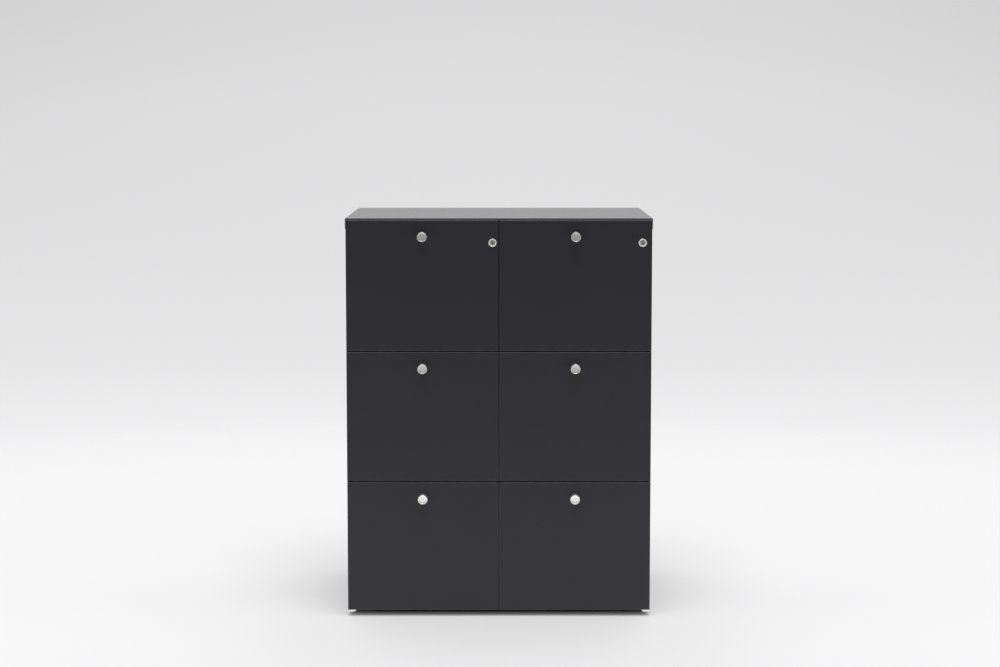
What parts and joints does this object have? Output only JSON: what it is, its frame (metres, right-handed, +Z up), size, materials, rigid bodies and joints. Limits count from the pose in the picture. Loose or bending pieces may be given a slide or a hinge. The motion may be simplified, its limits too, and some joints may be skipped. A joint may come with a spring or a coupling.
{
  "type": "filing cabinet",
  "caption": "Free-standing office filing cabinet: dark board carcass, columns of hanging-file drawers on telescopic runners, round metal knobs and a central lock for each column.",
  "frame": {"origin": "the floor, at the middle of the cabinet's plan with its knobs", "axes": "+Z up, -Y out of the drawer fronts, +X to the right of someone facing the drawers"},
  "size_m": [0.8, 0.624, 1.047],
  "materials": {
    "graphite_laminate": "graphite melamine laminate on particle board, matt",
    "knob_aluminium": "turned, satin",
    "lock_nickel": "nickel plated",
    "zinc_steel": "zinc plated",
    "tray_paint": "grey powder coat, fine texture",
    "bar_aluminium": "mill finish",
    "guide_plastic": "moulded",
    "foot_plastic": "moulded"
  },
  "bodies": {
    "carcass": {"top_panel": "graphite_laminate", "bottom_panel": "graphite_laminate", "left_side_panel": "graphite_laminate", "right_side_panel": "graphite_laminate", "partition": "graphite_laminate", "back_panel": "graphite_laminate", "levelling_feet": "foot_plastic", "bar_guides_left": "guide_plastic", "bar_guides_right": "guide_plastic", "cabinet_rails_bottom_left": "zinc_steel", "cabinet_rails_middle_left": "zinc_steel", "cabinet_rails_top_left": "zinc_steel", "cabinet_rails_bottom_right": "zinc_steel", "cabinet_rails_middle_right": "zinc_steel", "cabinet_rails_top_right": "zinc_steel"},
    "drawer_bottom_left": {"front_bottom_left": "graphite_laminate", "knob_bottom_left": "knob_aluminium", "file_tray_bottom_left": "tray_paint", "drawer_rails_bottom_left": "zinc_steel", "lock_catch_bottom_left": "guide_plastic"},
    "runner_bottom_left": {"middle_rails_bottom_left": "zinc_steel"},
    "drawer_middle_left": {"front_middle_left": "graphite_laminate", "knob_middle_left": "knob_aluminium", "file_tray_middle_left": "tray_paint", "drawer_rails_middle_left": "zinc_steel", "lock_catch_middle_left": "guide_plastic"},
    "runner_middle_left": {"middle_rails_middle_left": "zinc_steel"},
    "drawer_top_left": {"front_top_left": "graphite_laminate", "knob_top_left": "knob_aluminium", "file_tray_top_left": "tray_paint", "drawer_rails_top_left": "zinc_steel", "lock_catch_top_left": "guide_plastic", "lock_case_left": "lock_nickel"},
    "runner_top_left": {"middle_rails_top_left": "zinc_steel"},
    "drawer_bottom_right": {"front_bottom_right": "graphite_laminate", "knob_bottom_right": "knob_aluminium", "file_tray_bottom_right": "tray_paint", "drawer_rails_bottom_right": "zinc_steel", "lock_catch_bottom_right": "guide_plastic"},
    "runner_bottom_right": {"middle_rails_bottom_right": "zinc_steel"},
    "drawer_middle_right": {"front_middle_right": "graphite_laminate", "knob_middle_right": "knob_aluminium", "file_tray_middle_right": "tray_paint", "drawer_rails_middle_right": "zinc_steel", "lock_catch_middle_right": "guide_plastic"},
    "runner_middle_right": {"middle_rails_middle_right": "zinc_steel"},
    "drawer_top_right": {"front_top_right": "graphite_laminate", "knob_top_right": "knob_aluminium", "file_tray_top_right": "tray_paint", "drawer_rails_top_right": "zinc_steel", "lock_catch_top_right": "guide_plastic", "lock_case_right": "lock_nickel"},
    "runner_top_right": {"middle_rails_top_right": "zinc_steel"},
    "lock_left": {"lock_cylinder_left": "lock_nickel"},
    "bar_left": {"lock_bar_left": "bar_aluminium"},
    "lock_right": {"lock_cylinder_right": "lock_nickel"},
    "bar_right": {"lock_bar_right": "bar_aluminium"}
  },
  "joints": [
    {"name": "drawer_bottom_left_slide", "type": "slide", "parent": "carcass", "child": "drawer_bottom_left", "axis": [0, -1, 0], "range_m": [0, 0.48]},
    {"name": "runner_bottom_left_slide", "type": "slide", "parent": "carcass", "child": "runner_bottom_left", "axis": [0, -1, 0], "range_m": [0, 0.24]},
    {"name": "drawer_middle_left_slide", "type": "slide", "parent": "carcass", "child": "drawer_middle_left", "axis": [0, -1, 0], "range_m": [0, 0.48]},
    {"name": "runner_middle_left_slide", "type": "slide", "parent": "carcass", "child": "runner_middle_left", "axis": [0, -1, 0], "range_m": [0, 0.24]},
    {"name": "drawer_top_left_slide", "type": "slide", "parent": "carcass", "child": "drawer_top_left", "axis": [0, -1, 0], "range_m": [0, 0.48]},
    {"name": "runner_top_left_slide", "type": "slide", "parent": "carcass", "child": "runner_top_left", "axis": [0, -1, 0], "range_m": [0, 0.24]},
    {"name": "drawer_bottom_right_slide", "type": "slide", "parent": "carcass", "child": "drawer_bottom_right", "axis": [0, -1, 0], "range_m": [0, 0.48]},
    {"name": "runner_bottom_right_slide", "type": "slide", "parent": "carcass", "child": "runner_bottom_right", "axis": [0, -1, 0], "range_m": [0, 0.24]},
    {"name": "drawer_middle_right_slide", "type": "slide", "parent": "carcass", "child": "drawer_middle_right", "axis": [0, -1, 0], "range_m": [0, 0.48]},
    {"name": "runner_middle_right_slide", "type": "slide", "parent": "carcass", "child": "runner_middle_right", "axis": [0, -1, 0], "range_m": [0, 0.24]},
    {"name": "drawer_top_right_slide", "type": "slide", "parent": "carcass", "child": "drawer_top_right", "axis": [0, -1, 0], "range_m": [0, 0.48]},
    {"name": "runner_top_right_slide", "type": "slide", "parent": "carcass", "child": "runner_top_right", "axis": [0, -1, 0], "range_m": [0, 0.24]},
    {"name": "lock_left_turn", "type": "hinge", "parent": "drawer_top_left", "child": "lock_left", "pos_m": [-0.0165, -0.288, 0.985], "axis": [0, -1, 0], "range_deg": [0, 90]},
    {"name": "bar_left_lift", "type": "slide", "parent": "carcass", "child": "bar_left", "axis": [0, 0, 1], "range_m": [0, 0.00566]},
    {"name": "lock_right_turn", "type": "hinge", "parent": "drawer_top_right", "child": "lock_right", "pos_m": [0.3725, -0.288, 0.985], "axis": [0, -1, 0], "range_deg": [0, 90]},
    {"name": "bar_right_lift", "type": "slide", "parent": "carcass", "child": "bar_right", "axis": [0, 0, 1], "range_m": [0, 0.00566]}
  ],
  "couplings": [
    {"joint": "runner_bottom_left_slide", "follows": "drawer_bottom_left_slide", "ratio": 0.5},
    {"joint": "runner_middle_left_slide", "follows": "drawer_middle_left_slide", "ratio": 0.5},
    {"joint": "runner_top_left_slide", "follows": "drawer_top_left_slide", "ratio": 0.5},
    {"joint": "runner_bottom_right_slide", "follows": "drawer_bottom_right_slide", "ratio": 0.5},
    {"joint": "runner_middle_right_slide", "follows": "drawer_middle_right_slide", "ratio": 0.5},
    {"joint": "runner_top_right_slide", "follows": "drawer_top_right_slide", "ratio": 0.5},
    {"joint": "lock_left_turn", "follows": "bar_left_lift", "rad_per_m": 277.68},
    {"joint": "lock_right_turn", "follows": "bar_right_lift", "rad_per_m": 277.68}
  ]
}
